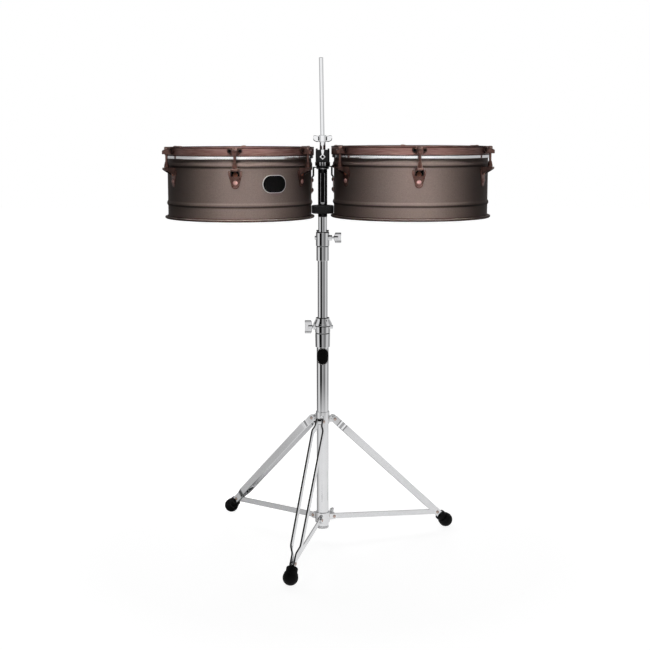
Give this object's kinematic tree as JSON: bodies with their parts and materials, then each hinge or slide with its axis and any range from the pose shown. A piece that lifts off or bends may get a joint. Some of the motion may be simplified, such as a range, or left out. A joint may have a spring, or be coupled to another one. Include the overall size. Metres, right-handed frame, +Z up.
{
  "type": "timbales",
  "caption": "Shallow metal-shelled single-headed drums with counterhoops and claw-hook tuning, hung side by side on a post above a folding, height-adjustable chrome tripod with a cowbell rod.",
  "frame": {"origin": "on the floor, under the middle of the bounding box", "axes": "+Z up, -Y towards the audience side that the picture shows, +X towards the larger drum"},
  "size_m": [0.8054, 0.606, 1.2239],
  "materials": {
    "bronze_shell": "satin bronze",
    "copper_hoop": "satin copper",
    "antique_copper": "polished antique copper",
    "white_head": "white film",
    "chrome": "polished",
    "black_paint": "gloss black",
    "black_rubber": "matt",
    "grey_plastic": "moulded"
  },
  "bodies": {
    "column": {"lower_tube": "chrome", "tube_end_plug": "grey_plastic", "leg_hub": "chrome", "lower_clamp": "chrome"},
    "lower_screw": {"lower_wing_screw": "chrome"},
    "collar": {"brace_collar": "chrome"},
    "collar_screw": {"collar_wing_screw": "chrome"},
    "brace_right": {"brace_right": "chrome"},
    "brace_left": {"brace_left": "chrome"},
    "brace_front": {"brace_front": "chrome"},
    "leg_right": {"leg_right": "chrome", "foot_right": "black_rubber"},
    "leg_left": {"leg_left": "chrome", "foot_left": "black_rubber"},
    "leg_front": {"leg_front": "chrome", "foot_front": "black_rubber"},
    "middle": {"middle_tube": "chrome", "upper_clamp": "chrome"},
    "upper_screw": {"upper_wing_screw": "chrome"},
    "upper": {"upper_tube": "chrome", "mount_post": "black_paint", "rubber_bumper": "black_rubber", "clamp_washer": "chrome", "head_block": "black_paint"},
    "ring_nut": {"ring_nut": "chrome"},
    "lock_screw": {"rod_lock_screw": "chrome"},
    "wing_nut": {"top_wing_nut": "chrome"},
    "bell_rod": {"cowbell_rod": "chrome"},
    "left_drum": {"left_shell": "bronze_shell", "left_head": "white_head", "left_hoop": "copper_hoop", "left_hanger": "black_paint", "left_claw_1": "antique_copper", "left_claw_2": "antique_copper", "left_claw_3": "antique_copper", "left_claw_4": "antique_copper", "left_claw_5": "antique_copper", "left_claw_6": "antique_copper"},
    "right_drum": {"right_shell": "bronze_shell", "right_head": "white_head", "right_hoop": "copper_hoop", "right_hanger": "black_paint", "right_claw_1": "antique_copper", "right_claw_2": "antique_copper", "right_claw_3": "antique_copper", "right_claw_4": "antique_copper", "right_claw_5": "antique_copper", "right_claw_6": "antique_copper"},
    "left_rod_1": {"left_tension_rod_1": "antique_copper"},
    "left_rod_2": {"left_tension_rod_2": "antique_copper"},
    "left_rod_3": {"left_tension_rod_3": "antique_copper"},
    "left_rod_4": {"left_tension_rod_4": "antique_copper"},
    "left_rod_5": {"left_tension_rod_5": "antique_copper"},
    "left_rod_6": {"left_tension_rod_6": "antique_copper"},
    "right_rod_1": {"right_tension_rod_1": "antique_copper"},
    "right_rod_2": {"right_tension_rod_2": "antique_copper"},
    "right_rod_3": {"right_tension_rod_3": "antique_copper"},
    "right_rod_4": {"right_tension_rod_4": "antique_copper"},
    "right_rod_5": {"right_tension_rod_5": "antique_copper"},
    "right_rod_6": {"right_tension_rod_6": "antique_copper"}
  },
  "joints": [
    {"name": "tripod_fold", "type": "slide", "parent": "column", "child": "collar", "axis": [0, 0, 1], "range_m": [0, 0.1498]},
    {"name": "brace_right_fold", "type": "hinge", "parent": "collar", "child": "brace_right", "pos_m": [0.01597, 0.06097, 0.05734], "axis": [-0.3007, 0.9537, 0], "range_deg": [0, 84.9]},
    {"name": "brace_left_fold", "type": "hinge", "parent": "collar", "child": "brace_left", "pos_m": [-0.03476, 0.07222, 0.05734], "axis": [-0.6756, -0.7373, 0], "range_deg": [0, 84.9]},
    {"name": "brace_front_fold", "type": "hinge", "parent": "collar", "child": "brace_front", "pos_m": [-0.01913, 0.02266, 0.05734], "axis": [0.9763, -0.2164, 0], "range_deg": [0, 84.9]},
    {"name": "leg_right_fold", "type": "hinge", "parent": "brace_right", "child": "leg_right", "pos_m": [0.29141, 0.14782, 0.04184], "axis": [-0.3007, 0.9537, 0], "range_deg": [-40, 0]},
    {"name": "leg_left_fold", "type": "hinge", "parent": "brace_left", "child": "leg_left", "pos_m": [-0.24768, 0.26733, 0.04184], "axis": [-0.6756, -0.7373, 0], "range_deg": [-40, 0]},
    {"name": "leg_front_fold", "type": "hinge", "parent": "brace_front", "child": "leg_front", "pos_m": [-0.08164, -0.25929, 0.04184], "axis": [0.9763, -0.2164, 0], "range_deg": [-40, 0]},
    {"name": "lower_height", "type": "slide", "parent": "column", "child": "middle", "axis": [0, 0, 1], "range_m": [-0.14, 0.12]},
    {"name": "upper_height", "type": "slide", "parent": "middle", "child": "upper", "axis": [0, 0, 1], "range_m": [-0.02, 0.12]},
    {"name": "cowbell_rod_height", "type": "slide", "parent": "upper", "child": "bell_rod", "axis": [-0.0175, 0, 0.9998], "range_m": [-0.014, 0.1]},
    {"name": "left_drum_swing", "type": "hinge", "parent": "upper", "child": "left_drum", "pos_m": [-0.01264, 0.05195, 0.83256], "axis": [0, 0, 1], "range_deg": [-8, 8]},
    {"name": "right_drum_swing", "type": "hinge", "parent": "upper", "child": "right_drum", "pos_m": [-0.01264, 0.05195, 0.83486], "axis": [0, 0, 1], "range_deg": [-8, 8]},
    {"name": "lower_screw_turn", "type": "hinge", "parent": "column", "child": "lower_screw", "pos_m": [-0.01264, 0.05195, 0.55607], "axis": [-1, 0, 0], "continuous": true},
    {"name": "upper_screw_turn", "type": "hinge", "parent": "middle", "child": "upper_screw", "pos_m": [-0.01264, 0.05195, 0.78156], "axis": [1, 0, 0], "continuous": true},
    {"name": "collar_screw_turn", "type": "hinge", "parent": "collar", "child": "collar_screw", "pos_m": [-0.01264, 0.05195, 0.05734], "axis": [0.5, 0.866, 0], "continuous": true},
    {"name": "ring_nut_turn", "type": "hinge", "parent": "upper", "child": "ring_nut", "pos_m": [-0.01264, 0.05195, 0.965], "axis": [0, 0, 1], "continuous": true},
    {"name": "lock_screw_turn", "type": "hinge", "parent": "upper", "child": "lock_screw", "pos_m": [-0.01264, 0.05195, 0.98276], "axis": [0, -1, 0], "continuous": true},
    {"name": "wing_nut_turn", "type": "hinge", "parent": "upper", "child": "wing_nut", "pos_m": [-0.01264, 0.05195, 1.01866], "axis": [0, 0, 1], "continuous": true},
    {"name": "left_rod_1_turn", "type": "hinge", "parent": "left_drum", "child": "left_rod_1", "pos_m": [-0.21684, -0.14384, 0.95], "axis": [0, 0, 1], "continuous": true},
    {"name": "left_rod_2_turn", "type": "hinge", "parent": "left_drum", "child": "left_rod_2", "pos_m": [-0.04805, -0.04462, 0.95], "axis": [0, 0, 1], "continuous": true},
    {"name": "left_rod_3_turn", "type": "hinge", "parent": "left_drum", "child": "left_rod_3", "pos_m": [-0.04959, 0.15118, 0.95], "axis": [0, 0, 1], "continuous": true},
    {"name": "left_rod_4_turn", "type": "hinge", "parent": "left_drum", "child": "left_rod_4", "pos_m": [-0.21992, 0.24774, 0.95], "axis": [0, 0, 1], "continuous": true},
    {"name": "left_rod_5_turn", "type": "hinge", "parent": "left_drum", "child": "left_rod_5", "pos_m": [-0.38871, 0.14852, 0.95], "axis": [0, 0, 1], "continuous": true},
    {"name": "left_rod_6_turn", "type": "hinge", "parent": "left_drum", "child": "left_rod_6", "pos_m": [-0.38717, -0.04728, 0.95], "axis": [0, 0, 1], "continuous": true},
    {"name": "right_rod_1_turn", "type": "hinge", "parent": "right_drum", "child": "right_rod_1", "pos_m": [0.2133, -0.15641, 0.95], "axis": [0, 0, 1], "continuous": true},
    {"name": "right_rod_2_turn", "type": "hinge", "parent": "right_drum", "child": "right_rod_2", "pos_m": [0.39, -0.04574, 0.95], "axis": [0, 0, 1], "continuous": true},
    {"name": "right_rod_3_turn", "type": "hinge", "parent": "right_drum", "child": "right_rod_3", "pos_m": [0.38251, 0.16262, 0.95], "axis": [0, 0, 1], "continuous": true},
    {"name": "right_rod_4_turn", "type": "hinge", "parent": "right_drum", "child": "right_rod_4", "pos_m": [0.19831, 0.26032, 0.95], "axis": [0, 0, 1], "continuous": true},
    {"name": "right_rod_5_turn", "type": "hinge", "parent": "right_drum", "child": "right_rod_5", "pos_m": [0.02161, 0.14964, 0.95], "axis": [0, 0, 1], "continuous": true},
    {"name": "right_rod_6_turn", "type": "hinge", "parent": "right_drum", "child": "right_rod_6", "pos_m": [0.0291, -0.05872, 0.95], "axis": [0, 0, 1], "continuous": true}
  ],
  "couplings": [
    {"joint": "brace_right_fold", "follows": "tripod_fold", "rad_per_m": 9.8815},
    {"joint": "brace_left_fold", "follows": "tripod_fold", "rad_per_m": 9.8815},
    {"joint": "brace_front_fold", "follows": "tripod_fold", "rad_per_m": 9.8815},
    {"joint": "leg_right_fold", "follows": "tripod_fold", "rad_per_m": -4.6531},
    {"joint": "leg_left_fold", "follows": "tripod_fold", "rad_per_m": -4.6531},
    {"joint": "leg_front_fold", "follows": "tripod_fold", "rad_per_m": -4.6531}
  ]
}
